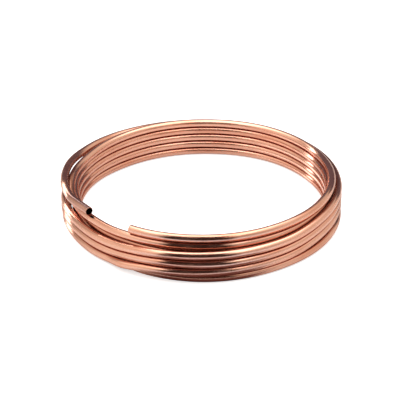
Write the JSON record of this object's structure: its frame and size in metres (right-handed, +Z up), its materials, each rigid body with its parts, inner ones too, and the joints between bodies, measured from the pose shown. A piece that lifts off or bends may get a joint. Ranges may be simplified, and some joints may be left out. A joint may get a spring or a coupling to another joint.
{
  "type": "copper tube coil",
  "caption": "Coil of bright soft copper tube lying flat, wound from one length in an inner and an outer layer, with both open ends on top.",
  "frame": {"origin": "on the floor that the coil lies on, under the middle of its outline", "axes": "+Z up through the eye of the coil; the side with both ends faces -Y, with the ends left of the middle at -X"},
  "size_m": [0.345, 0.3476, 0.0567],
  "materials": {
    "copper": "bright drawn copper, lightly polished"
  },
  "bodies": {
    "root": {"copper_tube": "copper"}
  },
  "joints": []
}
